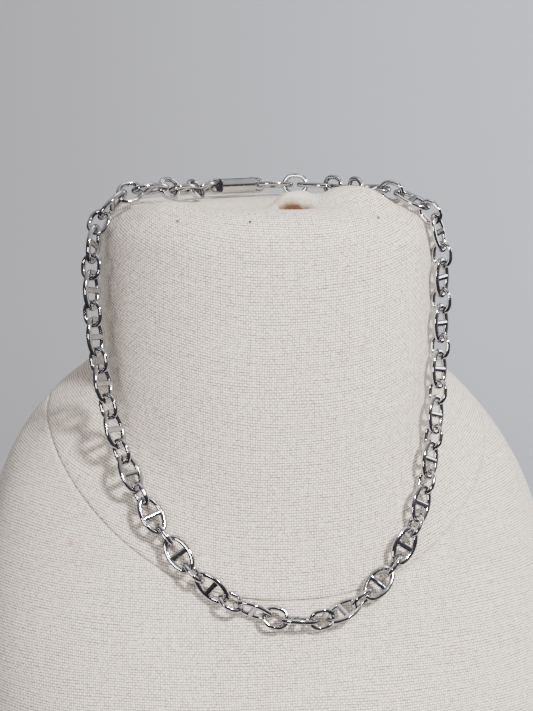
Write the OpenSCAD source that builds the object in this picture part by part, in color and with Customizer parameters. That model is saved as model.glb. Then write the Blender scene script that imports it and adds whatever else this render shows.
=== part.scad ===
// Mariner link chain necklace, closed round a canvas-covered neck bust that stands on its flat base.
// Millimetres, +Z up. The bust's front faces -Y, and the origin is under the middle of its base.

/* [Neck bust] */
// Height of the bust from its base to the top of the neck
bust_h = 215; // [200:1:230]
// Width of the bust at its shoulders
bust_w = 200; // [180:1:220]
// Depth of the bust at its base
bust_d = 160; // [140:1:180]
// Width of the neck
neck_w = 110; // [104:1:112]
// Depth of the neck from front to back
neck_d = 91; // [84:1:94]
// Radius of the rounded edge round the top of the neck
neck_edge_r = 13; // [8:1:16]
// Gap between the neck cover and the chest cover along their seam
seam_gap = 0.3; // [0.2:0.1:0.6]

/* [Mariner links] */
// Length of a mariner link
link_l = 13.1; // [12.8:0.1:13.6]
// Width of a mariner link
link_w = 8.1; // [7.8:0.1:8.8]
// Radius of a mariner link's outline at its two ends
link_end_r = 3.2; // [3:0.1:3.4]
// Width of the rim, seen from the front
rim_w = 1.65; // [1.5:0.05:1.75]
// Thickness of the rim, seen from the side
rim_t = 1.5; // [1.4:0.05:1.6]
// Width of the bar across the middle
bar_w = 1.9; // [1.6:0.05:2.1]
// Thickness of the bar
bar_t = 1.4; // [1.2:0.05:1.5]

/* [Connector links] */
// Length of a connector link
ring_l = 9; // [8.8:0.1:9.6]
// Width of a connector link
ring_w = 7.5; // [7.3:0.1:8]
// Diameter of the connector's wire
ring_wire = 1.5; // [1.3:0.05:1.6]

/* [Clasp] */
// Length of the clasp over its two eyes
clasp_l = 22; // [20:0.2:24]
// Diameter of the clasp's barrel
barrel_d = 5; // [4:0.1:6]
// Length of the barrel without its eyes
barrel_l = 13; // [11:0.2:14]
// Width of an eye
eye_w = 5.4; // [5.2:0.1:6.4]
// Diameter of the eyes' wire
eye_wire = 1.2; // [1:0.05:1.3]

/* [Chain] */
// Gap between two linked wires where they cross on the chain's line
link_gap = 0.45; // [0.44:0.01:0.5]
// Direction that a link with no roll faces: across, forward and up
face_dir = [-0.17, -0.97, 0.15];

/* [Hidden] */
// Places that the middle of the chain passes through, from behind the neck, down the left side as seen
// from the front, under the throat and up the right side, on a bust of the sizes below
route = [
    [-6, 17.5, 219.1], [-18, 10.3, 219.1], [-26, -2, 219.2], [-37, -11, 220.5],
    [-49, -15, 219], [-58, -19, 209.5], [-60.5, -24.5, 191.5], [-58.5, -27.5, 166.5],
    [-52.5, -34.5, 139.5], [-42, -43.5, 117], [-26.5, -52.5, 98.5], [-7, -56, 89.5],
    [10, -56.5, 89], [27, -52, 98.5], [40, -45, 116], [47.5, -35.5, 139],
    [51.5, -28, 165], [52.5, -25.5, 189], [51.5, -26, 208], [44.5, -22, 216.5],
    [34.5, -15, 219.5], [28.5, -8.5, 219.5], [25, 4.5, 219.1], [17.5, 14, 219.1],
    [6, 18.5, 219.1]
];
// Height, width and depth of that bust, and the width and depth of its neck
route_h = 215;
route_w = 200;
route_d = 160;
route_neck_w = 110;
route_neck_d = 91;
// Distance along the route from its first place to the middle of the clasp
clasp_at = 2.6;
// Roll of the links round the chain's line. Columns: share of the way round from the clasp, angle
roll = [
    [0, -80], [0.132, -75], [0.192, -57], [0.282, -48], [0.322, -40], [0.352, -22], [0.384, -5],
    [0.417, 26], [0.449, 52], [0.482, 90], [0.514, 131], [0.547, 172], [0.579, 199],
    [0.612, 218], [0.644, 228], [0.832, 240], [0.932, 262], [1, 280]
];
// Steps of the smooth curve between two places of the route
route_steps = 20;

// Points round each ring of the bust's skin
ring_points = 48;
// Steps of the skin between two rows of its table
row_steps = 3;
// Steps of the rounded edge round the top of the neck
edge_steps = 4;
// Squareness of the rings, 2 for an ellipse
bust_square = 2.3;
// The skin below the neck's edge. Columns: how far the side, front and back have gone from the neck's
// size (0) to the bust's (1), then the height of the side, front and back as shares of the bust's
SIDE = 0;
FRONT = 1;
BACK = 2;
SIDE_Z = 3;
FRONT_Z = 4;
BACK_Z = 5;
skin = [
    [0, 0, 0, 0.80, 0.72, 0.80],
    [0.02, 0, 0.03, 0.745, 0.56, 0.75],
    [0.17, 0.04, 0.15, 0.715, 0.49, 0.725],
    [0.40, 0.13, 0.30, 0.67, 0.435, 0.70],
    [0.64, 0.28, 0.46, 0.605, 0.37, 0.645],
    [0.80, 0.45, 0.60, 0.53, 0.30, 0.56],
    [0.92, 0.64, 0.75, 0.43, 0.225, 0.45],
    [0.985, 0.84, 0.90, 0.30, 0.14, 0.30],
    [1, 0.97, 0.98, 0.12, 0.05, 0.12],
    [1, 1, 1, 0, 0, 0]
];
// Row of the table that is the seam between the two covers
seam_row = 3;

// The section of a rim or bar loses its corners where a circle of this share of its diagonal cuts them
corner_share = 0.88;

// Distance between the middles of a link's two knuckles, from its length, its wire and its mate's wire
function knuckle_span(l, wire, mate) = l - 1.5 * wire - 0.5 * mate - link_gap;

// Size part of the way from the neck's size to the bust's
function between(a, b, share) = a + (b - a) * share;
// Place of the route, moved with the skin that it lies against when the bust has other sizes
function on_bust(p) =
    let (
        h = p.z / route_h,
        side = lookup(h, [for (r = skin) [r[SIDE_Z], r[SIDE]]]),
        front = lookup(h, [for (r = skin) [r[FRONT_Z], r[FRONT]]]),
        half = between(route_neck_w, route_w, side) / 2,
        reach = between(route_neck_d, route_d, front) / 2,
        x_share = max(-1, min(1, p.x / half)),
        y_share = max(-1, min(1, p.y / reach))
    )
    [
        p.x + x_share * (between(neck_w, bust_w, side) / 2 - half),
        p.y + y_share * (between(neck_d, bust_d, front) / 2 - reach),
        h > 1 ? p.z + bust_h - route_h : h * bust_h
    ];
places = [for (p = route) on_bust(p)];

// Closed smooth curve through those places
function curve_point(p, i, t) =
    let (
        n = len(p),
        a = p[(i + n - 1) % n],
        b = p[i],
        c = p[(i + 1) % n],
        d = p[(i + 2) % n]
    )
    0.5 * (2 * b + (c - a) * t + (2 * a - 5 * b + 4 * c - d) * t * t + (3 * b - a - 3 * c + d) * t * t * t);
curve = [for (i = [0:len(places) - 1], k = [0:route_steps - 1]) curve_point(places, i, k / route_steps)];
curve_n = len(curve);
// Length of the curve up to each of its points, and right round
curve_s = [
    for (i = 0, s = 0; i <= curve_n; s = s + norm(curve[(i + 1) % curve_n] - curve[i % curve_n]), i = i + 1) s
];
chain_l = curve_s[curve_n];
x_at = [for (i = [0:curve_n]) [curve_s[i], curve[i % curve_n].x]];
y_at = [for (i = [0:curve_n]) [curve_s[i], curve[i % curve_n].y]];
z_at = [for (i = [0:curve_n]) [curve_s[i], curve[i % curve_n].z]];
// Point of the route at a distance from the middle of the clasp
function wrap(s) = s - chain_l * floor(s / chain_l);
function route_at(s) =
    let (w = wrap(s + clasp_at))
    [lookup(w, x_at), lookup(w, y_at), lookup(w, z_at)];

// Share of one pair of links that the chain's clear gaps can take up before one more pair is needed
stretch_share = 0.1;
// Spans between knuckles, and how many mariner links close the loop
link_span = knuckle_span(link_l, rim_w, ring_wire);
ring_span = knuckle_span(ring_l, ring_wire, rim_w);
clasp_span = knuckle_span(clasp_l, eye_wire, rim_w);
links = ceil((chain_l - clasp_span + ring_span) / (link_span + ring_span) - stretch_share);
// The little length that is left over is shared out among the links
ease = (chain_l - clasp_span) / (links * link_span + (links - 1) * ring_span);
pair_step = (link_span + ring_span) * ease;
function link_start(i) = clasp_span / 2 + i * pair_step;
function ring_start(i) = link_start(i) + link_span * ease;

function unit(v) = v / norm(v);
function roll_at(s) = lookup(s / chain_l, roll);
// Matrix that lays a link with its length on X and its face on Z between two places of the chain
function frame(p, q, turn) =
    let (
        along = unit(q - p),
        face = unit(face_dir - (face_dir * along) * along),
        side = cross(along, face),
        z = face * cos(turn) + side * sin(turn),
        y = cross(z, along),
        m = (p + q) / 2
    )
    [
        [along.x, y.x, z.x, m.x],
        [along.y, y.y, z.y, m.y],
        [along.z, y.z, z.z, m.z],
        [0, 0, 0, 1]
    ];
function span_frame(s, span, turn) = frame(route_at(s), route_at(s + span), turn);
function link_frame(i) =
    span_frame(link_start(i), link_span * ease, roll_at(link_start(i) + link_span / 2));
function ring_frame(i) =
    span_frame(ring_start(i), ring_span * ease, roll_at(ring_start(i) + ring_span / 2) + 90);

link_names = [for (i = [1:links]) str("mariner_link_", i < 10 ? "0" : "", i)];

// Point of a ring of the skin at an angle from the front, from its half width, front and back reach
function ring_xy(side, front, back, angle) =
    let (
        s = sin(angle),
        c = cos(angle),
        x = side * sign(s) * pow(abs(s), 2 / bust_square),
        reach = c > 0 ? front : back
    )
    [x, -reach * sign(c) * pow(abs(c), 2 / bust_square)];
// Height of a ring at that angle, from its height at the side, front and back
function ring_z(side_z, front_z, back_z, angle) =
    let (middle = (front_z + back_z) / 4 + side_z / 2)
    middle - (back_z - front_z) / 2 * cos(angle) - (side_z - middle) * cos(2 * angle);
function row_ring(row, lift) = [
    for (k = [0:ring_points - 1])
        let (
            angle = 360 * k / ring_points,
            xy = ring_xy(
                between(neck_w, bust_w, row[SIDE]) / 2,
                between(neck_d, bust_d, row[FRONT]) / 2,
                between(neck_d, bust_d, row[BACK]) / 2,
                angle
            )
        )
        [xy.x, xy.y, bust_h * ring_z(row[SIDE_Z], row[FRONT_Z], row[BACK_Z], angle) + lift]
];
// Row of the skin between two rows of the table
function skin_row(t) =
    let (
        i = min(floor(t), len(skin) - 2),
        f = t - i,
        a = skin[max(i - 1, 0)],
        b = skin[i],
        c = skin[i + 1],
        d = skin[min(i + 2, len(skin) - 1)]
    )
    0.5 * (2 * b + (c - a) * f + (2 * a - 5 * b + 4 * c - d) * f * f + (3 * b - a - 3 * c + d) * f * f * f);
// Rings of the rounded edge, from the flat top outwards and down
function edge_ring(angle) =
    let (inset = neck_edge_r * (1 - sin(angle)), z = bust_h - neck_edge_r * (1 - cos(angle)))
    [
        for (k = [0:ring_points - 1])
            let (xy = ring_xy(neck_w / 2 - inset, neck_d / 2 - inset, neck_d / 2 - inset, 360 * k / ring_points))
            [xy.x, xy.y, z]
    ];

// Closed skin through rings listed from the top down, its ends drawn to a point inside each end ring
module loft(rings, top, bottom) {
    n = len(rings[0]);
    rows = len(rings);
    points = concat([for (r = rings) each r], [top, bottom]);
    sides = [
        for (i = [0:rows - 2], k = [0:n - 1])
            let (a = i * n + k, b = i * n + (k + 1) % n)
            each [[a, b, b + n], [a, b + n, a + n]]
    ];
    top_fan = [for (k = [0:n - 1]) [(k + 1) % n, k, rows * n]];
    bottom_fan = [for (k = [0:n - 1]) [(rows - 1) * n + k, (rows - 1) * n + (k + 1) % n, rows * n + 1]];
    polyhedron(points, concat(sides, top_fan, bottom_fan));
}

// Height of the point inside the seam that both covers' hidden faces are drawn to
seam_mid_z = bust_h * (skin[seam_row][FRONT_Z] + skin[seam_row][BACK_Z]) / 2;

module neck_form() {
    edge = [for (k = [0:edge_steps]) edge_ring(90 * k / edge_steps)];
    below = [for (k = [0:seam_row * row_steps]) row_ring(skin_row(k / row_steps), 0)];
    color("ivory") loft(concat(edge, below), [0, 0, bust_h], [0, 0, seam_mid_z]);
}

module chest_form() {
    first = seam_row * row_steps;
    last = (len(skin) - 1) * row_steps;
    top_ring = row_ring(skin[seam_row], -seam_gap);
    rest = [for (k = [first + 1:last]) row_ring(skin_row(k / row_steps), 0)];
    color("linen") loft(concat([top_ring], rest), [0, 0, seam_mid_z - seam_gap], [0, 0, 0]);
}

// Section of a rim or bar: a rectangle with its corners cut round
module wire_section(w, t) {
    intersection() {
        square([w, t], center = true);
        circle(r = corner_share * norm([w, t]) / 2);
    }
}

// One arc of an oval: its section is turned about the arc's own centre
module oval_arc(centre, r, from, sweep) {
    translate([centre.x, centre.y, 0])
        rotate([0, 0, from])
            rotate_extrude(angle = sweep) translate([r, 0]) children();
}

// Mariner link lying flat, its length along X: a pointed oval of four arcs that meet smoothly, with a bar
// across. The rim's section is centred half a rim inside the outer edge
module mariner_link() {
    end_x = link_l / 2 - link_end_r;
    side_r = (pow(end_x, 2) + pow(link_w / 2, 2) - pow(link_end_r, 2)) / (link_w - 2 * link_end_r);
    side_y = side_r - link_w / 2;
    join = atan2(side_y, end_x);
    for (turn = [0, 180]) rotate([0, 0, turn]) {
        oval_arc([end_x, 0], link_end_r - rim_w / 2, -join, 2 * join) wire_section(rim_w, rim_t);
        oval_arc([0, -side_y], side_r - rim_w / 2, join, 180 - 2 * join) wire_section(rim_w, rim_t);
    }
    rotate([90, 0, 0]) linear_extrude(height = link_w - rim_w, center = true) wire_section(bar_w, bar_t);
}

// Connector link lying flat, its length along X: a round wire with two round ends and short straight sides
module connector_link() {
    end_x = (ring_l - ring_w) / 2;
    wire_r = (ring_w - ring_wire) / 2;
    for (turn = [0, 180]) rotate([0, 0, turn]) {
        oval_arc([end_x, 0], wire_r, -90, 180) circle(d = ring_wire);
        translate([-end_x, wire_r, 0]) rotate([0, 90, 0]) cylinder(d = ring_wire, h = 2 * end_x, $fn = 32);
    }
}

module connector_links() {
    color("silver") for (i = [0:links - 2]) multmatrix(ring_frame(i)) connector_link();
}

// Barrel clasp: a plain closed barrel with a wire eye at each end
module clasp() {
    eye_l = (clasp_l - barrel_l) / 2;
    eye_r = eye_w / 2 - eye_wire / 2;
    leg = eye_l - eye_w / 2;
    color("gainsboro") multmatrix(span_frame(-clasp_span / 2, clasp_span, roll_at(0) + 90)) {
        rotate([0, 90, 0]) cylinder(d = barrel_d, h = barrel_l, center = true, $fn = 48);
        for (turn = [0, 180]) rotate([0, 0, turn]) {
            translate([clasp_l / 2 - eye_w / 2, 0, 0])
                rotate([0, 0, -90]) rotate_extrude(angle = 180) translate([eye_r, 0]) circle(d = eye_wire);
            for (side = [-1, 1]) translate([barrel_l / 2 - eye_wire / 2, side * eye_r, 0])
                rotate([0, 90, 0]) cylinder(d = eye_wire, h = leg + eye_wire / 2, $fn = 24);
        }
    }
}

module placed_link(i) {
    color("silver") multmatrix(link_frame(i)) mariner_link();
}

for (i = [0:links - 1]) placed_link(i);
connector_links();
clasp();
neck_form();
chest_form();
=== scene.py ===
import math
import bpy
import numpy as np
from mathutils import Matrix, Vector


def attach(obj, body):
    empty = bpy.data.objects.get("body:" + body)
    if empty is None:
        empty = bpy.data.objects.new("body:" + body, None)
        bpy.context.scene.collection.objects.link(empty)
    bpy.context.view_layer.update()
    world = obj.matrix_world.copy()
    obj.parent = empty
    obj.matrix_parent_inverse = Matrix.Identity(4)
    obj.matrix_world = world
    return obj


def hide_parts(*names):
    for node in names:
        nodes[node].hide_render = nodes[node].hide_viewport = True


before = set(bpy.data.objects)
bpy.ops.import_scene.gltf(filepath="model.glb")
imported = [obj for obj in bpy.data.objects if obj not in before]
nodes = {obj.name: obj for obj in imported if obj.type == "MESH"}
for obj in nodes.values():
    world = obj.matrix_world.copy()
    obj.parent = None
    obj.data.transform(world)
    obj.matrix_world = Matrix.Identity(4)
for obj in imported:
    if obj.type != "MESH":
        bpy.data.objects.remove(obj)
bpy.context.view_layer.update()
links = sorted(n for n in nodes if n.startswith("mariner_link_"))

# Camera at the photo's viewing angle. Focal length and frame height are in the photo's pixels
CAMERA_PLACE = (-0.1256, -0.7107, 0.2716)
FOCAL_PX, FRAME_PX = 2200.0, 711.0
SENSOR_MM = 36.0
azimuth, elevation = math.radians(10.0), math.radians(8.5)
level = math.cos(elevation)
look = Vector((math.sin(azimuth) * level, math.cos(azimuth) * level, -math.sin(elevation)))
right = Vector((math.cos(azimuth), -math.sin(azimuth), 0.0))
up = right.cross(look)
cam = bpy.data.cameras.new("photo_camera")
cam.sensor_width = SENSOR_MM
cam.lens = FOCAL_PX * SENSOR_MM / FRAME_PX
cam.clip_start, cam.clip_end = 0.05, 20.0
cam_obj = bpy.data.objects.new("photo_camera", cam)
bpy.context.scene.collection.objects.link(cam_obj)
cam_turn = Matrix((right, up, -look)).transposed().to_4x4()
cam_obj.matrix_world = Matrix.Translation(CAMERA_PLACE) @ cam_turn
bpy.context.scene.camera = cam_obj


# Shader helpers
class Shader:
    """Short ways to add and join the nodes of one material."""

    def __init__(self, name):
        self.mat = bpy.data.materials.new(name)
        self.mat.use_nodes = True
        self.tree = self.mat.node_tree
        self.tree.nodes.clear()
        self.out = self.tree.nodes.new("ShaderNodeOutputMaterial")
        self.bsdf = self.tree.nodes.new("ShaderNodeBsdfPrincipled")
        self.tree.links.new(self.bsdf.outputs[0], self.out.inputs[0])

    def join(self, source, socket):
        self.tree.links.new(source, socket)

    def feed(self, node, key, value):
        if value is None:
            return
        if hasattr(value, "is_linked"):
            self.join(value, node.inputs[key])
        else:
            node.inputs[key].default_value = value

    def coords(self, kind="Object", scale=(1, 1, 1)):
        c = self.tree.nodes.new("ShaderNodeTexCoord")
        m = self.tree.nodes.new("ShaderNodeMapping")
        self.join(c.outputs[kind], m.inputs[0])
        m.inputs["Scale"].default_value = scale
        return m.outputs[0]

    def noise(self, vector, scale=1.0, detail=2.0, rough=0.5):
        n = self.tree.nodes.new("ShaderNodeTexNoise")
        self.join(vector, n.inputs["Vector"])
        for key, value in (("Scale", scale), ("Detail", detail), ("Roughness", rough)):
            self.feed(n, key, value)
        return n.outputs[0]

    def math(self, op, a, b=None, clamp=False):
        n = self.tree.nodes.new("ShaderNodeMath")
        n.operation = op
        n.use_clamp = clamp
        self.feed(n, 0, a)
        self.feed(n, 1, b)
        return n.outputs[0]

    def ramp(self, value, stops):
        n = self.tree.nodes.new("ShaderNodeValToRGB")
        self.join(value, n.inputs[0])
        e = n.color_ramp.elements
        while len(e) < len(stops):
            e.new(0.5)
        for k, (at, col) in enumerate(stops):
            e[k].position = at
            e[k].color = (*col, 1.0)
        return n.outputs[0]

    def grade(self, value, low, high, out_low=0.0, out_high=1.0):
        n = self.tree.nodes.new("ShaderNodeMapRange")
        self.join(value, n.inputs[0])
        for k, v in enumerate((low, high, out_low, out_high)):
            n.inputs[k + 1].default_value = v
        return n.outputs[0]

    def mix(self, factor, a, b):
        n = self.tree.nodes.new("ShaderNodeMix")
        n.data_type = "RGBA"
        self.feed(n, 0, factor)
        for key, value in ((6, a), (7, b)):
            self.feed(n, key, value if hasattr(value, "is_linked") else (*value, 1.0))
        return n.outputs[2]

    def bump(self, height, strength, distance, normal=None):
        n = self.tree.nodes.new("ShaderNodeBump")
        self.join(height, n.inputs["Height"])
        n.inputs["Strength"].default_value = strength
        n.inputs["Distance"].default_value = distance
        if normal is not None:
            self.join(normal, n.inputs["Normal"])
        return n.outputs[0]


# Materials
def steel_material():
    """Polished steel with faint smears. Its mirror darkens at grazing angles."""
    s = Shader("polished_steel")
    p = s.coords("Object")
    soft = s.noise(p, scale=220.0, detail=3.0, rough=0.6)
    smear = s.noise(p, scale=900.0)
    fine = s.noise(s.coords("Object", (1, 1, 0.25)), scale=9000.0, rough=0.6)
    tone = s.ramp(soft, [(0.3, (0.51, 0.51, 0.53)), (0.7, (0.63, 0.63, 0.65))])
    s.join(tone, s.bsdf.inputs["Base Color"])
    haze = s.grade(soft, 0.35, 0.7, 0.035, 0.09)
    marks = s.grade(smear, 0.5, 0.75, 0.0, 0.06)
    s.join(s.math("ADD", haze, marks), s.bsdf.inputs["Roughness"])
    smears = s.bump(smear, strength=0.08, distance=0.00006)
    grain = s.bump(fine, strength=0.05, distance=0.00002, normal=smears)
    s.join(grain, s.bsdf.inputs["Normal"])
    s.bsdf.inputs["Metallic"].default_value = 1.0
    s.bsdf.inputs["Specular Tint"].default_value = (0.22, 0.22, 0.27, 1.0)
    return s.mat


# Spacing of the canvas threads, the colour of the painted shade in the gaps and pits between them, and the
# colours of the slubs and the flecks
WEFT_MM, WARP_MM = 0.85, 0.78
PIT_SHADE_COLOUR, SLUB_COLOUR, FLECK_COLOUR = (0.16, 0.135, 0.11), (0.95, 0.93, 0.89), (0.19, 0.16, 0.13)


def canvas_material(name, tint):
    """Unbleached canvas. Its UV is in millimetres, round the form and down it."""
    s = Shader(name)
    uv = s.coords("UV")
    obj = s.coords("Object")
    wander = s.noise(s.coords("UV", (0.02, 0.05, 1)))
    # Threads: weft runs round the form and warp runs down it, with painted shade in the pit where four
    # threads meet
    sep = s.tree.nodes.new("ShaderNodeSeparateXYZ")
    s.join(uv, sep.inputs[0])
    v = s.math("ADD", sep.outputs[1], s.math("MULTIPLY", wander, 3.0))
    u = s.math("ADD", sep.outputs[0], s.math("MULTIPLY", wander, 2.0))
    across = s.math("SINE", s.math("MULTIPLY", v, math.pi / WEFT_MM))
    along = s.math("SINE", s.math("MULTIPLY", u, math.pi / WARP_MM))
    weft = s.math("ABSOLUTE", across)
    warp = s.math("ABSOLUTE", along)
    # Over and under: one in each square where the weft lies on top, minus one where the warp does
    over = s.math("MULTIPLY", across, along)
    streak = s.noise(s.coords("UV", (0.035, 1.15, 1)), detail=3.0, rough=0.65)
    upright = s.noise(s.coords("UV", (1.3, 0.03, 1)), rough=0.6)
    patchy = s.noise(s.coords("UV", (0.5, 0.5, 1)), rough=0.6)
    slubs = s.grade(s.noise(s.coords("UV", (0.16, 1.7, 1)), detail=0.0), 0.66, 0.8)
    weft_low, weft_share = s.grade(weft, 0.0, 0.80, 1.0, 0.0), s.grade(streak, 0.3, 0.62, 0.45, 1.0)
    warp_low, warp_share = s.grade(warp, 0.0, 0.75, 1.0, 0.0), s.grade(upright, 0.3, 0.62, 0.25, 1.0)
    weft_gap = s.math("MULTIPLY", weft_low, weft_share)
    warp_gap = s.math("MULTIPLY", warp_low, warp_share)
    pit = s.math("MULTIPLY", weft_gap, warp_gap)
    broken = s.noise(s.coords("UV", (0.42, 1.1, 1)), rough=0.7)
    fluff = s.noise(s.coords("UV", (1.1, 1.3, 1)), detail=1.0)
    # Relief of the threads, as a weighted sum
    threads = s.math("MULTIPLY", weft, 0.7)
    for part, weight in ((warp, 0.5), (over, 0.35), (streak, 1.4), (upright, 0.6), (slubs, 0.9)):
        threads = s.math("ADD", threads, s.math("MULTIPLY", part, weight))
    # Colour: creamy cloth with painted shade between the threads, deepest in the pits, and with slubs, flecks
    # and soft soiling
    soiling = s.noise(obj, scale=18.0, detail=3.0, rough=0.6)
    base = s.ramp(soiling, [(0.3, tuple(0.95 * c for c in tint)), (0.7, tint)])
    lines = s.math("MULTIPLY", weft_gap, s.grade(broken, 0.3, 0.66, 0.25, 1.05))
    shade = s.math("ADD", lines, s.math("MULTIPLY", warp_gap, 0.45))
    shade = s.math("ADD", shade, s.math("MULTIPLY", pit, 0.75))
    # Painted shade on the squares where the warp lies on top, and a little painted light where the weft does
    shade = s.math("ADD", shade, s.grade(over, -1.0, 1.0, 0.26, -0.12))
    shade = s.math("ADD", shade, s.grade(fluff, 0.3, 0.7, 0.22, -0.12))
    shade = s.math("MULTIPLY", shade, s.grade(patchy, 0.3, 0.7, 0.85, 1.4), clamp=True)
    # The cloth is darkened by this painted shade towards the pit colour
    cloth = s.mix(shade, base, PIT_SHADE_COLOUR)
    cloth = s.mix(s.math("MULTIPLY", slubs, 0.35), cloth, SLUB_COLOUR)
    cells = s.tree.nodes.new("ShaderNodeTexVoronoi")
    s.join(s.coords("UV", (0.08, 0.13, 1)), cells.inputs["Vector"])
    cells.inputs["Scale"].default_value = 1.0
    fleck = s.math("LESS_THAN", cells.outputs[0], 0.033)
    cloth = s.mix(s.math("MULTIPLY", fleck, 0.6), cloth, FLECK_COLOUR)
    s.cloth, s.obj = cloth, obj
    s.join(cloth, s.bsdf.inputs["Base Color"])
    s.bsdf.inputs["Roughness"].default_value = 0.92
    s.bsdf.inputs["Specular IOR Level"].default_value = 0.25
    s.bsdf.inputs["Sheen Weight"].default_value = 0.18
    s.bsdf.inputs["Sheen Roughness"].default_value = 0.5
    s.join(s.bump(threads, strength=0.6, distance=0.00022), s.bsdf.inputs["Normal"])
    return s


def spot(s, centre, radii, colour, strength, core=0.6):
    """An oval patch of colour with three half sizes, at a place in the row's frame. It fades out beyond its
    core.
    """
    geo = s.tree.nodes.new("ShaderNodeNewGeometry")
    offset = s.tree.nodes.new("ShaderNodeVectorMath")
    offset.operation = "SUBTRACT"
    s.join(geo.outputs["Position"], offset.inputs[0])
    offset.inputs[1].default_value = centre
    shares = s.tree.nodes.new("ShaderNodeVectorMath")
    shares.operation = "DIVIDE"
    s.join(offset.outputs[0], shares.inputs[0])
    shares.inputs[1].default_value = radii
    far = s.tree.nodes.new("ShaderNodeVectorMath")
    far.operation = "LENGTH"
    s.join(shares.outputs[0], far.inputs[0])
    ragged = s.grade(s.noise(s.obj, scale=260.0), 0.3, 0.7, -0.25, 0.25)
    edge = s.math("ADD", far.outputs["Value"], ragged)
    s.cloth = s.mix(s.grade(edge, core, 1.1, strength, 0.0), s.cloth, colour)
    s.join(s.cloth, s.bsdf.inputs["Base Color"])


# Mesh helpers
def new_object(name, verts, faces, material, uvs=None):
    """Smooth mesh object. The UVs, if any, are one for each corner of each face."""
    me = bpy.data.meshes.new(name)
    me.from_pydata([tuple(map(float, v)) for v in verts], [], faces)
    me.polygons.foreach_set("use_smooth", [True] * len(me.polygons))
    if uvs is not None:
        layer = me.uv_layers.new(name="UVMap")
        layer.data.foreach_set("uv", np.asarray(uvs, dtype=np.float32).ravel())
    me.materials.append(material)
    ob = bpy.data.objects.new(name, me)
    bpy.context.scene.collection.objects.link(ob)
    return ob


def tube_faces(rings, sides, closed):
    """Quads of a tube of that many rings and sides."""
    faces = []
    for i in range(rings if closed else rings - 1):
        a, b = i * sides, ((i + 1) % rings) * sides
        faces += [(a + k, a + (k + 1) % sides, b + (k + 1) % sides, b + k) for k in range(sides)]
    return faces


# The links. Each section is a superellipse: power 2 is an oval, and a higher one is squarer. The bar ends
# inside the rim, at that share of the rim's width from its outer edge
LINK_L, LINK_W, LINK_END_R, RIM_W, RIM_T = 0.0131, 0.0081, 0.0032, 0.00165, 0.0015
BAR_W, BAR_T, BAR_SUNK = 0.0019, 0.0014, 0.45
BAR_FLARE_L, BAR_FLARE_W, BAR_FLARE_T = 0.0008, 0.35, 0.06
RING_L, RING_W, RING_WIRE = 0.009, 0.0075, 0.0015
CAST_POWER, WIRE_POWER = 2.5, 2.0
RIM_SIDES, BAR_SIDES, RING_SIDES = 24, 20, 20
RIM_END_STEPS, RIM_SIDE_STEPS, BAR_STEPS, RING_END_STEPS, RING_SIDE_STEPS = 22, 40, 41, 36, 6


def pointed_oval(l, w, r, wire, per_end, per_side):
    """Middle line of a rim of four arcs, and its outward directions, in the link's plane."""
    side = ((l / 2 - r) ** 2 + (w / 2) ** 2 - r * r) / (w - 2 * r)
    ex, sy = l / 2 - r, side - w / 2
    join = math.atan2(sy, ex)
    pts, out = [], []
    for turn in (1, -1):
        for a in np.linspace(-join, join, per_end, endpoint=False):
            pts.append((turn * (ex + (r - wire / 2) * math.cos(a)), turn * (r - wire / 2) * math.sin(a)))
            out.append((turn * math.cos(a), turn * math.sin(a)))
        for a in np.linspace(join, math.pi - join, per_side, endpoint=False):
            x, y = (side - wire / 2) * math.cos(a), -sy + (side - wire / 2) * math.sin(a)
            pts.append((turn * x, turn * y))
            out.append((turn * math.cos(a), turn * math.sin(a)))
    return np.array(pts), np.array(out)


def round_oval(l, w, wire, per_end, per_side):
    """Middle line of a wire with round ends and straight sides, and its outward directions."""
    ex, r = (l - w) / 2, (w - wire) / 2
    pts, out = [], []
    for turn in (1, -1):
        for a in np.linspace(-math.pi / 2, math.pi / 2, per_end, endpoint=False):
            pts.append((turn * (ex + r * math.cos(a)), turn * r * math.sin(a)))
            out.append((turn * math.cos(a), turn * math.sin(a)))
        for x in np.linspace(ex, -ex, per_side, endpoint=False):
            pts.append((turn * x, turn * r))
            out.append((0.0, float(turn)))
    return np.array(pts), np.array(out)


def rounded_section(w, t, power, sides):
    """A rectangle with soft corners, as a superellipse."""
    a = np.linspace(0, 2 * math.pi, sides, endpoint=False) + math.pi / sides
    c, s = np.cos(a), np.sin(a)
    across = np.sign(c) * np.abs(c) ** (2 / power) * w / 2
    through = np.sign(s) * np.abs(s) ** (2 / power) * t / 2
    return np.column_stack([across, through])


def sweep(pts, out, section):
    """Closed tube with that section along a flat middle line."""
    v = []
    for p, o in zip(pts, out):
        v.append(np.column_stack([p[0] + o[0] * section[:, 0], p[1] + o[1] * section[:, 0], section[:, 1]]))
    return np.vstack(v), tube_faces(len(pts), len(section), True)


def mariner_shape():
    """Rim and bar. The bar swells a little where it runs into the rim, as a cast link's does."""
    pts, out = pointed_oval(LINK_L, LINK_W, LINK_END_R, RIM_W, RIM_END_STEPS, RIM_SIDE_STEPS)
    v, f = sweep(pts, out, rounded_section(RIM_W, RIM_T, CAST_POWER, RIM_SIDES))
    half = LINK_W / 2 - RIM_W * BAR_SUNK
    steps = np.linspace(-1, 1, BAR_STEPS)
    bar = []
    for t in steps:
        flare = max(0.0, (abs(t) * half - (half - BAR_FLARE_L)) / BAR_FLARE_L) ** 2
        wide, thick = BAR_W * (1 + BAR_FLARE_W * flare), BAR_T * (1 + BAR_FLARE_T * flare)
        sec = rounded_section(wide, thick, CAST_POWER, BAR_SIDES)
        bar.append(np.column_stack([sec[:, 0], np.full(len(sec), t * half), sec[:, 1]]))
    n = len(v)
    bf = [tuple(n + i for i in q) for q in tube_faces(len(steps), BAR_SIDES, False)]
    return np.vstack([v] + bar), f + bf


def connector_shape():
    """Plain oval link of round wire."""
    pts, out = round_oval(RING_L, RING_W, RING_WIRE, RING_END_STEPS, RING_SIDE_STEPS)
    return sweep(pts, out, rounded_section(RING_WIRE, RING_WIRE, WIRE_POWER, RING_SIDES))


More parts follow.
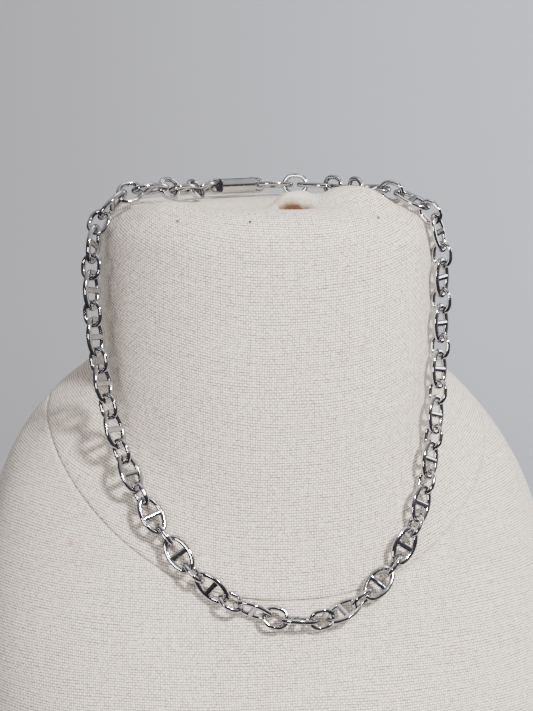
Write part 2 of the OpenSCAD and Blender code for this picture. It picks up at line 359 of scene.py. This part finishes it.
def flat_frame(co, tris):
    """Centre and axes (long, wide, thick) of a link's surface, from its area-weighted spread."""
    a, b, c = co[tris[:, 0]], co[tris[:, 1]], co[tris[:, 2]]
    area = np.linalg.norm(np.cross(b - a, c - a), axis=1) / 2
    mid = (a + b + c) / 3
    centre = (mid * area[:, None]).sum(0) / area.sum()
    d = mid - centre
    _, axes = np.linalg.eigh((d * area[:, None]).T @ d)
    axes = axes[:, ::-1].T
    q = (co - centre) @ axes.T
    centre = centre + ((q.max(0) + q.min(0)) / 2) @ axes
    axes[2] = np.cross(axes[0], axes[1])
    return centre, axes


def mesh_arrays(ob):
    """Points and triangles of an object's mesh."""
    me = ob.data
    co = np.zeros(len(me.vertices) * 3)
    me.vertices.foreach_get("co", co)
    me.calc_loop_triangles()
    tri = np.zeros(len(me.loop_triangles) * 3, dtype=np.int64)
    me.loop_triangles.foreach_get("vertices", tri)
    return co.reshape(-1, 3), tri.reshape(-1, 3)


def islands(co, tris):
    """Groups of triangles joined through points that share a place, to a tenth of a micrometre."""
    key = np.round(co * 1e7).astype(np.int64)
    _, ids = np.unique(key, axis=0, return_inverse=True)
    ids = ids.ravel()
    root = np.arange(ids.max() + 1)
    t = ids[tris]
    while True:
        low = root[t].min(1)
        before = root.copy()
        for k in range(3):
            np.minimum.at(root, t[:, k], low)
        root = root[root]
        if (root == before).all():
            break
    label = root[t[:, 0]]
    return [tris[label == g] for g in np.unique(label)]


steel = steel_material()
link_v, link_f = mariner_shape()
for name in links:
    centre, axes = flat_frame(*mesh_arrays(nodes[name]))
    ob = new_object(name.replace("mariner", "polished"), link_v @ axes + centre, link_f, steel)
    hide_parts(name)
    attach(ob, "root")

ring_v, ring_f = connector_shape()
co, tris = mesh_arrays(nodes["connector_links"])
verts, faces = [], []
for group in islands(co, tris):
    used = np.unique(group)
    renumber = np.full(len(co), -1)
    renumber[used] = np.arange(len(used))
    centre, axes = flat_frame(co[used], renumber[group])
    start = sum(len(v) for v in verts)
    verts.append(ring_v @ axes + centre)
    faces += [tuple(start + i for i in q) for q in ring_f]
rings = new_object("polished_connectors", np.vstack(verts), faces, steel)
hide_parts("connector_links")
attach(rings, "root")

nodes["clasp"].data.materials.clear()
nodes["clasp"].data.materials.append(steel)


# The bust. SQUARE is the superellipse power of its sections
H, BUST_W, BUST_D, NECK_W, NECK_D, EDGE_R, GAP = 0.215, 0.200, 0.160, 0.110, 0.091, 0.013, 0.0003
SQUARE = 2.3
# A row for each ring of the skin, top to base. Columns: share of the way from neck to bust in width, in front
# depth and in back depth, then height at the side, front and back as a share of H
SKIN = np.array([
    [0, 0, 0, 0.80, 0.72, 0.80],
    [0.02, 0, 0.03, 0.745, 0.56, 0.75],
    [0.17, 0.04, 0.15, 0.715, 0.49, 0.725],
    [0.40, 0.13, 0.30, 0.67, 0.435, 0.70],
    [0.64, 0.28, 0.46, 0.605, 0.37, 0.645],
    [0.80, 0.45, 0.60, 0.53, 0.30, 0.56],
    [0.92, 0.64, 0.75, 0.43, 0.225, 0.45],
    [0.985, 0.84, 0.90, 0.30, 0.14, 0.30],
    [1, 0.97, 0.98, 0.12, 0.05, 0.12],
    [1, 1, 1, 0, 0, 0],
])
SEAM = 3
AROUND = 384
TOP_RINGS, EDGE_RINGS, NECK_RINGS, CHEST_RINGS, BASE_RINGS = 40, 20, 96, 150, 14
HEM_REACH, HEM_TURN, PUCKER, PUCKER_REACH, SWELL_REACH = 0.0016, 0.0004, 0.00012, 0.005, 0.02
# How the cloth turns under at the seam, ring by ring. Columns: inward, rise
NECK_TUCKS = ((0.0004, -0.0001), (0.003, 0.0003))
CHEST_TUCKS = ((0.003, 0.0004), (0.0004, 0.00012))
ANGLES = np.linspace(-math.pi, math.pi, AROUND, endpoint=False)


def superring(side, front, back, z, angles):
    """A ring at a height, with its reach to the side, front and back."""
    s, c = np.sin(angles), np.cos(angles)
    reach = np.where(c > 0, front, back)
    x = side * np.sign(s) * np.abs(s) ** (2 / SQUARE)
    y = -reach * np.sign(c) * np.abs(c) ** (2 / SQUARE)
    return np.column_stack([x, y, np.broadcast_to(z, x.shape)])


def skin_row(t):
    """The skin's row at a place between its rows, on a smooth curve through them."""
    i = min(int(t), len(SKIN) - 2)
    f = t - i
    a, b, c, d = SKIN[max(i - 1, 0)], SKIN[i], SKIN[i + 1], SKIN[min(i + 2, len(SKIN) - 1)]
    square, cube = 2 * a - 5 * b + 4 * c - d, 3 * b - a - 3 * c + d
    return 0.5 * (2 * b + (c - a) * f + square * f * f + cube * f ** 3)


def between(a, b, share):
    """The value that share of the way from one to the other."""
    return a + (b - a) * share


def skin_ring(t, angles):
    """The bust's ring at a place in the skin's rows."""
    r = skin_row(t)
    middle = (r[4] + r[5]) / 4 + r[3] / 2
    z = H * (middle - (r[5] - r[4]) / 2 * np.cos(angles) - (r[3] - middle) * np.cos(2 * angles))
    side = between(NECK_W, BUST_W, r[0]) / 2
    front, back = between(NECK_D, BUST_D, r[1]) / 2, between(NECK_D, BUST_D, r[2]) / 2
    return superring(side, front, back, z, angles)


def normals_of(grid):
    """Outward directions of a grid of rings."""
    du = np.roll(grid, -1, 1) - np.roll(grid, 1, 1)
    dv = np.gradient(grid, axis=0)
    nrm = np.cross(dv, du)
    length = np.linalg.norm(nrm, axis=2, keepdims=True)
    return nrm / np.maximum(length, 1e-12)


def swell(p, seed):
    """Slow unevenness of stuffing under cloth, a sum of a few waves."""
    rng = np.random.default_rng(seed)
    total = np.zeros(p.shape[:2])
    for _ in range(9):
        k = rng.normal(size=3) * rng.uniform(25, 80)
        total += np.sin(p @ k + rng.uniform(0, 6.28)) / 9
    return total


def down_each(grid):
    """Distance down each column of a grid from its first ring."""
    steps = np.linalg.norm(np.diff(grid, axis=0), axis=2)
    return np.vstack([np.zeros(grid.shape[1]), np.cumsum(steps, axis=0)])


def shaped(rings, seam_last, amplitude, seed):
    """Rings as a grid of points, with a hem and tiny puckers at the seam and slow unevenness elsewhere."""
    grid = np.array(rings)
    down = down_each(grid)
    to_seam = down[-1] - down if seam_last else down
    hem = np.clip(1 - to_seam / HEM_REACH, 0, 1) ** 2
    pucker = 0.5 * np.sin(ANGLES * 61 + 1.7 * np.sin(ANGLES * 7)) + 0.4 * np.sin(ANGLES * 97 + 2)
    push = np.exp(-(to_seam / PUCKER_REACH) ** 2) * pucker[None, :] * PUCKER - hem * HEM_TURN
    push += swell(grid, seed) * amplitude * np.clip(to_seam / SWELL_REACH, 0, 1)
    return grid + normals_of(grid) * push[:, :, None]


def tucked(ring, inward, rise):
    """The ring drawn in towards the bust's axis and raised."""
    r = np.hypot(ring[:, 0], ring[:, 1])[:, None]
    return np.column_stack([ring[:, :2] * (1 - inward / r), ring[:, 2] + rise])


def cloth_object(name, grid, v, material, tip):
    """Closed rings as a mesh, the gap at the tip's end filled to a point. UVs are in millimetres: u round
    from the middle of the front, and v down the cloth."""
    n, m = grid.shape[:2]
    closed = np.concatenate([grid, grid[:, :1]], axis=1)
    steps = np.linalg.norm(np.diff(closed, axis=1), axis=2)
    u = np.hstack([np.zeros((n, 1)), np.cumsum(steps, axis=1)])
    u = (u - u[:, m // 2:m // 2 + 1]) * 1000
    v = np.hstack([v, v[:, :1]]) * 1000
    i, k = np.meshgrid(np.arange(n - 1), np.arange(m), indexing="ij")
    i, k = i.ravel(), k.ravel()
    after = (k + 1) % m
    quads = np.column_stack([i * m + k, (i + 1) * m + k, (i + 1) * m + after, i * m + after])
    ends = ((i, k), (i + 1, k), (i + 1, k + 1), (i, k + 1))
    corners = np.stack([np.column_stack([u[a, b], v[a, b]]) for a, b in ends], axis=1)
    end = 0 if tip[2] > grid[-1, 0, 2] else n - 1
    ring = end * m + np.arange(m)
    after = end * m + (np.arange(m) + 1) % m
    centre = np.full(m, n * m)
    fan = np.column_stack([ring, after, centre] if end == 0 else [after, ring, centre])
    around = np.arange(m)
    pair = (around, around + 1) if end == 0 else (around + 1, around)
    fan_uv = np.stack([np.column_stack([u[end, c], v[end, c]]) for c in (*pair, around)], axis=1)
    verts = np.vstack([grid.reshape(-1, 3), [tip]])
    faces = [tuple(q) for q in quads.tolist()] + [tuple(q) for q in fan.tolist()]
    uvs = np.vstack([corners.reshape(-1, 2), fan_uv.reshape(-1, 2)])
    return new_object(name, verts, faces, material, uvs)


def mound(x, y, cx, cy, rx, ry, turn, power):
    """A smooth hump one high. A higher power gives it a flatter crown and steeper sides."""
    c, s = math.cos(turn), math.sin(turn)
    dx, dy = x - cx, y - cy
    return np.exp(-np.hypot((dx * c + dy * s) / rx, (-dx * s + dy * c) / ry) ** power)


# The pinch in the cloth near the front of the neck's top: a cupped fold behind a small hollow
PINCH = np.array([0.0036, -0.0285])
# Humps and hollows of the neck's top. Columns: height, centre x and y, half sizes, turn, power
HUMPS = (
    (0.0064, 0.0230, -0.0238, 0.0119, 0.0066, -0.12, 2.8),
    (0.0022, -0.036, -0.023, 0.012, 0.008, 0.3, 2.0),
    (-0.0024, -0.012, -0.013, 0.014, 0.010, 0.0, 2.0),
    (0.0050, PINCH[0] + 0.0006, -0.0228, 0.0066, 0.0040, 0.08, 3.0),
    (-0.0006, PINCH[0], -0.0315, 0.0075, 0.0030, 0.0, 2.0),
    (-0.0040, PINCH[0], PINCH[1] + 0.0007, 0.0050, 0.0019, 0.0, 2.4),
)
# Colour in the pinch, darker towards the bottom of the hollow: a dull cream patch over the fold that mostly
# hides the weave, then tan, then brown. Columns: place, half sizes, colour, strength, core
PINCH_COLOURS = (
    ((PINCH[0], PINCH[1] + 0.0035, H + 0.0030), (0.0088, 0.0066, 0.0060), (0.70, 0.63, 0.54), 0.8, 0.3),
    ((PINCH[0], PINCH[1] + 0.0023, H + 0.0010), (0.0064, 0.0044, 0.0028), (0.34, 0.21, 0.12), 0.95, 0.15),
    (
        (PINCH[0] + 0.0004, PINCH[1] + 0.0014, H - 0.0004), (0.0056, 0.0042, 0.0019),
        (0.085, 0.042, 0.022), 1.0, 0.5,
    ),
)
# Dark specks on the neck's front. Columns: place, strength
SPECKS = (
    ((-0.0126, -0.0400, 0.2118), 1.0), ((-0.0343, -0.0323, 0.2117), 0.8),
    ((0.0293, -0.0344, 0.2122), 0.9), ((0.0158, -0.0437, 0.2051), 0.35),
)
SPECK_SIZE, SPECK_COLOUR = (0.00055, 0.0040, 0.00045), (0.025, 0.025, 0.035)
# The height over which the top's relief dies out, and how uneven each cover is
RELIEF_LOW, RELIEF_FADE = 0.011, 0.010
NECK_UNEVEN, CHEST_UNEVEN = 0.0004, 0.0005
# A low swelling along the front of the top: its rise, middle and half sizes
FRONT_RISE, FRONT_X, FRONT_Y, FRONT_HALF_X, FRONT_HALF_Y = 0.0003, -0.006, -0.0350, 0.027, 0.005
TIP_DROP = 0.0004
NECK_TINT, CHEST_TINT = (0.99, 0.89, 0.775), (0.99, 0.90, 0.79)
# A small stain on the chest. Columns as for the pinch's colours above, without the core
CHEST_STAIN = ((-0.0687, -0.0326, 0.1105), (0.0011, 0.0011, 0.0014), (0.50, 0.30, 0.16), 0.75)
# Base points lower than this lie flat on the floor
FLAT_UNDER = 0.001

# Neck cover: gathered top, rounded edge, sides and hem
edge_out = superring(NECK_W / 2 - EDGE_R, NECK_D / 2 - EDGE_R, NECK_D / 2 - EDGE_R, H, ANGLES)
at_pinch = np.append(PINCH * np.array([1.0, 0.8]), H)
top = [at_pinch + (edge_out - at_pinch) * share for share in np.linspace(0.0, 1.0, TOP_RINGS)[1:]]
edge = []
for a in np.linspace(0, math.pi / 2, EDGE_RINGS)[1:]:
    inset = EDGE_R * (1 - math.sin(a))
    z = H - EDGE_R * (1 - math.cos(a))
    edge.append(superring(NECK_W / 2 - inset, NECK_D / 2 - inset, NECK_D / 2 - inset, z, ANGLES))
body = [skin_ring(t, ANGLES) for t in np.linspace(0, SEAM, NECK_RINGS)[1:]]
grid = shaped(top + edge + body, True, NECK_UNEVEN, 5)
x, y = grid[:, :, 0], grid[:, :, 1]
on_top = np.clip((grid[:, :, 2] - (H - RELIEF_LOW)) / RELIEF_FADE, 0, 1)
lift = FRONT_RISE * np.exp(-(((y - FRONT_Y) / FRONT_HALF_Y) ** 2) - ((x - FRONT_X) / FRONT_HALF_X) ** 4)
for height, *shape in HUMPS:
    lift += height * mound(x, y, *shape)
grid[:, :, 2] += lift * on_top
hem = grid[-1].copy()
grid = np.concatenate([grid, [tucked(hem, *tuck) for tuck in NECK_TUCKS]])
down = down_each(grid)
neck_s = canvas_material("neck_canvas", NECK_TINT)
# Colour in the pinch, darker towards the bottom of the hollow, then the specks
for pinch_colour in PINCH_COLOURS:
    spot(neck_s, *pinch_colour)
for place, strength in SPECKS:
    spot(neck_s, place, SPECK_SIZE, SPECK_COLOUR, strength)
tip = grid[0].mean(0) - np.array([0, 0, TIP_DROP])
neck = cloth_object("neck_cover", grid, down - down[len(top) + len(edge)], neck_s.mat, tip)

# Chest cover: hem, shoulders, chest and turned-under base
body = [skin_ring(t, ANGLES) for t in np.linspace(SEAM, len(SKIN) - 1, CHEST_RINGS)]
body[0] = body[0] - np.array([0, 0, GAP])
under = [body[-1] * np.array([s, s, 0]) for s in np.linspace(1, 0, BASE_RINGS)[1:-1]]
grid = shaped(body + under, False, CHEST_UNEVEN, 11)
grid[:, :, 2] = np.where(grid[:, :, 2] < FLAT_UNDER, 0.0, grid[:, :, 2])
hem = grid[0].copy()
grid = np.concatenate([[tucked(hem, *tuck) for tuck in CHEST_TUCKS], grid])
down = down_each(grid)
chest_s = canvas_material("chest_canvas", CHEST_TINT)
spot(chest_s, *CHEST_STAIN)
chest = cloth_object("chest_cover", grid, down - down[len(body) + 1], chest_s.mat, (0, 0, 0))
for ob, node in ((neck, "neck_form"), (chest, "chest_form")):
    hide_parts(node)
    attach(ob, "root")


# Floor, backdrop and light
def stage_material(name, left, right):
    """Plain painted wall and floor, of one colour at the left and another at the right. Where the two differ,
    the darker left is painted shade and the lighter right painted light.
    """
    s = Shader(name)
    p = s.coords("Object")
    sep = s.tree.nodes.new("ShaderNodeSeparateXYZ")
    s.join(p, sep.inputs[0])
    patches = s.math("MULTIPLY", s.noise(p, scale=6.0, detail=3.0), 0.1)
    across = s.math("ADD", s.grade(sep.outputs[0], -0.03, 0.40), patches)
    s.join(s.ramp(across, [(0.05, left), (1.0, right)]), s.bsdf.inputs["Base Color"])
    s.bsdf.inputs["Roughness"].default_value = 0.95
    return s.mat


# The floor runs from front to back and rises in an arc into the wall
FLOOR_FRONT, FLOOR_BACK, ARC_R, FLOOR_HALF_W, WALL_H, BELOW = -6.0, 0.55, 0.5, 5.0, 2.6, 0.0002
FAR_R, FAR_FOOT, FAR_H, FAR_SIDES = 4.8, -0.01, 6.0, 64
# The backdrop's colours at its left and right: painted shade at the left and painted light at the right,
# where the key lamp stands. The far wall has one colour
WALL_SHADED_LEFT, WALL_LIT_RIGHT, FAR_COLOUR = (0.40, 0.405, 0.43), (0.59, 0.615, 0.68), (0.70, 0.705, 0.72)


def backdrop():
    """Floor that curves up into a wall behind, with painted shade at the left and painted light at the right.
    """
    prof = [(FLOOR_FRONT, 0.0), (FLOOR_BACK, 0.0)]
    for a in np.linspace(0.1, math.pi / 2, 12):
        prof.append((FLOOR_BACK + ARC_R * math.sin(a), ARC_R - ARC_R * math.cos(a)))
    prof.append((FLOOR_BACK + ARC_R, WALL_H))
    verts = [(x, y, z - BELOW) for x in (-FLOOR_HALF_W, FLOOR_HALF_W) for y, z in prof]
    k = len(prof)
    wall = stage_material("pale_wall_lit_right", WALL_SHADED_LEFT, WALL_LIT_RIGHT)
    return new_object("backdrop", verts, [(i, i + 1, k + i + 1, k + i) for i in range(k - 1)], wall)


def surround():
    """A plain wall all round, far off, which only the camera sees."""
    turns = np.linspace(0, 2 * math.pi, FAR_SIDES, endpoint=False)
    verts = [(FAR_R * math.cos(a), FAR_R * math.sin(a), z) for z in (FAR_FOOT, FAR_H) for a in turns]
    faces = [
        (k, (k + 1) % FAR_SIDES, FAR_SIDES + (k + 1) % FAR_SIDES, FAR_SIDES + k) for k in range(FAR_SIDES)
    ]
    ob = new_object("surround", verts, faces, stage_material("far_wall", FAR_COLOUR, FAR_COLOUR))
    ob.visible_diffuse = False
    ob.visible_transmission = False
    ob.visible_shadow = False
    return ob


stage = (backdrop(), surround())
for ob in stage:
    ob.visible_glossy = False


def area(name, place, target, size, power, colour=(1, 1, 1)):
    """Rectangular lamp that faces a target."""
    light = bpy.data.lights.new(name, "AREA")
    light.shape = "RECTANGLE"
    light.size, light.size_y = size
    light.energy = power
    light.color = colour
    ob = bpy.data.objects.new(name, light)
    bpy.context.scene.collection.objects.link(ob)
    ob.location = place
    ob.rotation_euler = (Vector(target) - Vector(place)).to_track_quat("-Z", "Y").to_euler()


CHAIN_MIDDLE = (0, -0.02, 0.13)
WARM = (1.0, 0.97, 0.94)
area("key", (0.38, -0.98, 0.82), CHAIN_MIDDLE, (0.14, 0.14), 31.5, WARM)
area("fill", (-0.6, -1.05, 0.35), CHAIN_MIDDLE, (0.22, 0.30), 5.0, WARM)
area("rim_right", (0.9, 0.2, 0.45), CHAIN_MIDDLE, (0.25, 0.6), 4.0)
area("overhead", (0.15, 0.0, 1.2), CHAIN_MIDDLE, (0.6, 0.4), 1.8)


# The room from its dark floor in front to its pale ceiling behind. Columns: share of the way, colour
ROOM_UP, ROOM_UNEVEN, ROOM_STRENGTH = (0.28, 0.30, 0.91), 1.4, 0.75
ROOM_STOPS = (
    (0.0, (0.030, 0.030, 0.040)), (0.16, (0.16, 0.155, 0.17)), (0.24, (0.022, 0.022, 0.032)),
    (0.36, (0.19, 0.185, 0.20)), (0.44, (0.025, 0.025, 0.035)), (0.54, (0.11, 0.11, 0.12)),
    (0.66, (0.46, 0.45, 0.45)), (0.88, (0.93, 0.91, 0.89)),
)


def room():
    """World that is pale above and behind, dark in front and below and uneven all round, as a room is."""
    world = bpy.data.worlds.new("soft_room")
    bpy.context.scene.world = world
    world.use_nodes = True
    tree = world.node_tree
    coords = tree.nodes.new("ShaderNodeTexCoord")
    height = tree.nodes.new("ShaderNodeVectorMath")
    height.operation = "DOT_PRODUCT"
    height.inputs[1].default_value = ROOM_UP
    tree.links.new(coords.outputs["Generated"], height.inputs[0])
    things = tree.nodes.new("ShaderNodeTexNoise")
    tree.links.new(coords.outputs["Generated"], things.inputs["Vector"])
    things.inputs["Scale"].default_value = 5.0
    things.inputs["Detail"].default_value = 4.0
    uneven = tree.nodes.new("ShaderNodeMath")
    uneven.operation = "MULTIPLY_ADD"
    tree.links.new(things.outputs[0], uneven.inputs[0])
    uneven.inputs[1].default_value = ROOM_UNEVEN
    tree.links.new(height.outputs["Value"], uneven.inputs[2])
    share = tree.nodes.new("ShaderNodeMapRange")
    tree.links.new(uneven.outputs[0], share.inputs["Value"])
    share.inputs["From Min"].default_value = -0.10
    share.inputs["From Max"].default_value = 1.70
    ramp = tree.nodes.new("ShaderNodeValToRGB")
    tree.links.new(share.outputs[0], ramp.inputs[0])
    e = ramp.color_ramp.elements
    while len(e) < len(ROOM_STOPS):
        e.new(0.5)
    for stop, (at, colour) in zip(e, ROOM_STOPS):
        stop.position = at
        stop.color = (*colour, 1.0)
    sky = tree.nodes["Background"]
    tree.links.new(ramp.outputs[0], sky.inputs[0])
    sky.inputs[1].default_value = ROOM_STRENGTH


room()
